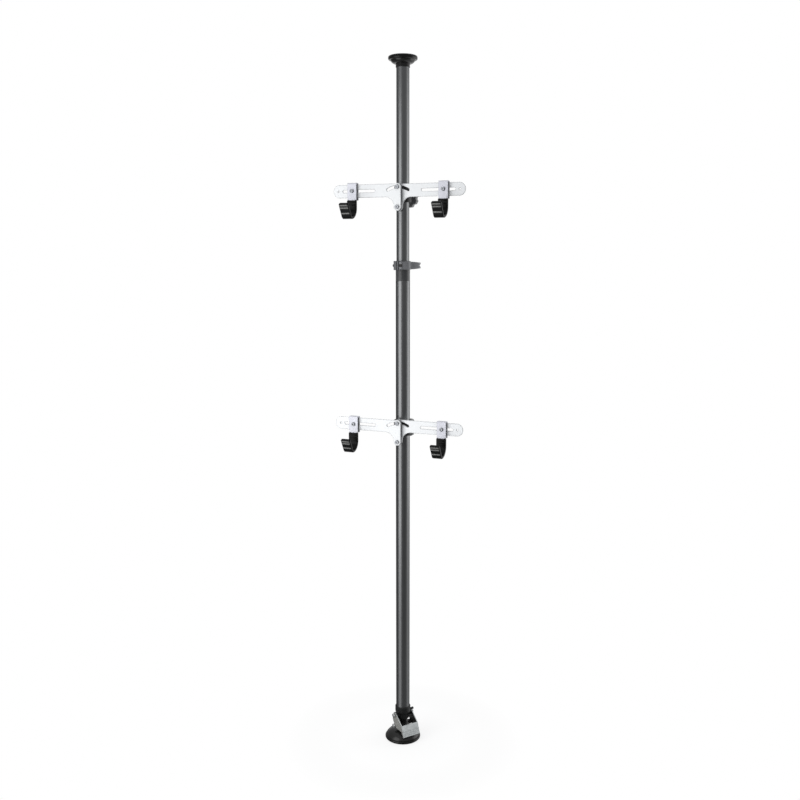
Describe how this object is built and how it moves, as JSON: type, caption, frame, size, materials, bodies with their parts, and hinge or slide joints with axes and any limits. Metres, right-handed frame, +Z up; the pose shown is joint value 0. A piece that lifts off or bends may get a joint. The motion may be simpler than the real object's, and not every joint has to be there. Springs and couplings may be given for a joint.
{
  "type": "floor_to_ceiling_bike_stand",
  "caption": "Floor-to-ceiling bike stand: graphite telescoping pole with a cam foot, a ring clamp, and slotted silver arms carrying black rubber hooks on sliding mounts",
  "frame": {"origin": "on the pole axis, on the floor under the base", "axes": "+Z up along the pole, -Y the front where the hooks point, +X the stand's right seen from the front"},
  "size_m": [0.43, 0.1901, 2.21],
  "materials": {
    "tube_graphite": "graphite anodised, satin",
    "silver_paint": "satin silver powder coat",
    "saddle_steel": "bent strip, satin nickel",
    "pedal_steel": "pressed sheet, zinc plated",
    "pin_chrome": "polished",
    "bolt_steel": "zinc plated",
    "hook_rubber": "moulded, ribbed",
    "sole_rubber": "moulded",
    "gloss_black": "moulded, glossy",
    "matt_black": "moulded, fine grain",
    "dark_grey": "moulded, fine grain",
    "post_steel": "black coated"
  },
  "bodies": {
    "base": {"foot_sole": "sole_rubber", "foot_dome": "gloss_black", "foot_post": "post_steel", "foot_guide_pin": "pin_chrome", "foot_screw": "bolt_steel"},
    "pole": {"foot_collar": "matt_black", "pedal_pivot_pin": "pin_chrome", "lower_tube": "tube_graphite", "guide_bush": "matt_black", "clamp_ring": "dark_grey", "clamp_screw": "post_steel", "lever_pin": "post_steel"},
    "pedal": {"pedal_lever": "pedal_steel"},
    "ring_lever": {"clamp_lever": "matt_black"},
    "mast": {"upper_tube": "tube_graphite", "mast_glide": "matt_black", "ceiling_cap": "gloss_black", "ceiling_pad": "sole_rubber"},
    "upper_grip": {"upper_grip_liner": "matt_black"},
    "upper_mount": {"upper_clamp_body": "matt_black", "upper_hub_spacer": "matt_black", "upper_arm_bolts": "bolt_steel"},
    "upper_pad": {"upper_press_pad": "matt_black"},
    "upper_knob": {"upper_knob": "matt_black", "upper_knob_stud": "bolt_steel"},
    "upper_left_arm": {"upper_left_arm": "silver_paint"},
    "upper_left_hook": {"upper_left_hook_saddle": "saddle_steel", "upper_left_hook_glide": "matt_black", "upper_left_hook_cover": "hook_rubber", "upper_left_hook_bolt": "bolt_steel"},
    "upper_right_arm": {"upper_right_arm": "silver_paint"},
    "upper_right_hook": {"upper_right_hook_saddle": "saddle_steel", "upper_right_hook_glide": "matt_black", "upper_right_hook_cover": "hook_rubber", "upper_right_hook_bolt": "bolt_steel"},
    "lower_grip": {"lower_grip_liner": "matt_black"},
    "lower_mount": {"lower_clamp_body": "matt_black", "lower_hub_spacer": "matt_black", "lower_arm_bolts": "bolt_steel"},
    "lower_pad": {"lower_press_pad": "matt_black"},
    "lower_knob": {"lower_knob": "matt_black", "lower_knob_stud": "bolt_steel"},
    "lower_left_arm": {"lower_left_arm": "silver_paint"},
    "lower_left_hook": {"lower_left_hook_saddle": "saddle_steel", "lower_left_hook_glide": "matt_black", "lower_left_hook_cover": "hook_rubber", "lower_left_hook_bolt": "bolt_steel"},
    "lower_right_arm": {"lower_right_arm": "silver_paint"},
    "lower_right_hook": {"lower_right_hook_saddle": "saddle_steel", "lower_right_hook_glide": "matt_black", "lower_right_hook_cover": "hook_rubber", "lower_right_hook_bolt": "bolt_steel"}
  },
  "joints": [
    {"name": "pole_lift", "type": "slide", "parent": "base", "child": "pole", "axis": [0, 0, 1], "range_m": [-0.013, 0]},
    {"name": "pedal_turn", "type": "hinge", "parent": "pole", "child": "pedal", "pos_m": [0, 0, 0.084], "axis": [-0.6018, -0.7986, 0], "range_deg": [0, 45]},
    {"name": "ring_lever_turn", "type": "hinge", "parent": "pole", "child": "ring_lever", "pos_m": [0.00538, -0.03174, 1.5821], "axis": [0, 0, -1], "range_deg": [0, 140]},
    {"name": "mast_slide", "type": "slide", "parent": "pole", "child": "mast", "axis": [0, 0, 1], "range_m": [-0.1, 0.6]},
    {"name": "upper_grip_slide", "type": "slide", "parent": "mast", "child": "upper_grip", "axis": [0, 0, 1], "range_m": [-0.04, 0.25]},
    {"name": "upper_swivel", "type": "hinge", "parent": "upper_grip", "child": "upper_mount", "pos_m": [0, 0, 1.79], "axis": [0, 0, 1], "continuous": true},
    {"name": "upper_pad_slide", "type": "slide", "parent": "upper_mount", "child": "upper_pad", "axis": [0, 1, 0], "range_m": [0, 0.0025]},
    {"name": "upper_knob_turn", "type": "hinge", "parent": "upper_pad", "child": "upper_knob", "pos_m": [0, 0.05, 1.79], "axis": [0, 1, 0], "range_deg": [0, 720]},
    {"name": "upper_left_arm_tilt", "type": "hinge", "parent": "upper_mount", "child": "upper_left_arm", "pos_m": [0, -0.0451, 1.76], "axis": [0, 1, 0], "range_deg": [0, 30]},
    {"name": "upper_left_hook_slide", "type": "slide", "parent": "upper_left_arm", "child": "upper_left_hook", "axis": [-1, 0, 0], "range_m": [-0.069, 0.031]},
    {"name": "upper_right_arm_tilt", "type": "hinge", "parent": "upper_mount", "child": "upper_right_arm", "pos_m": [0, -0.0311, 1.76], "axis": [0, -1, 0], "range_deg": [0, 30]},
    {"name": "upper_right_hook_slide", "type": "slide", "parent": "upper_right_arm", "child": "upper_right_hook", "axis": [1, 0, 0], "range_m": [-0.069, 0.031]},
    {"name": "lower_grip_slide", "type": "slide", "parent": "pole", "child": "lower_grip", "axis": [0, 0, 1], "range_m": [-0.5, 0.35]},
    {"name": "lower_swivel", "type": "hinge", "parent": "lower_grip", "child": "lower_mount", "pos_m": [0, 0, 1.057], "axis": [0, 0, 1], "continuous": true},
    {"name": "lower_pad_slide", "type": "slide", "parent": "lower_mount", "child": "lower_pad", "axis": [0, 1, 0], "range_m": [0, 0.0025]},
    {"name": "lower_knob_turn", "type": "hinge", "parent": "lower_pad", "child": "lower_knob", "pos_m": [0, 0.05, 1.057], "axis": [0, 1, 0], "range_deg": [0, 720]},
    {"name": "lower_left_arm_tilt", "type": "hinge", "parent": "lower_mount", "child": "lower_left_arm", "pos_m": [0, -0.0476, 1.027], "axis": [0, 1, 0], "range_deg": [0, 30]},
    {"name": "lower_left_hook_slide", "type": "slide", "parent": "lower_left_arm", "child": "lower_left_hook", "axis": [-1, 0, 0], "range_m": [-0.069, 0.031]},
    {"name": "lower_right_arm_tilt", "type": "hinge", "parent": "lower_mount", "child": "lower_right_arm", "pos_m": [0, -0.0336, 1.027], "axis": [0, -1, 0], "range_deg": [0, 30]},
    {"name": "lower_right_hook_slide", "type": "slide", "parent": "lower_right_arm", "child": "lower_right_hook", "axis": [1, 0, 0], "range_m": [-0.069, 0.031]}
  ],
  "couplings": [
    {"joint": "pedal_turn", "follows": "pole_lift", "rad_per_m": -60.415},
    {"joint": "upper_pad_slide", "follows": "upper_knob_turn", "m_per_rad": 0.00019894},
    {"joint": "lower_pad_slide", "follows": "lower_knob_turn", "m_per_rad": 0.00019894}
  ]
}
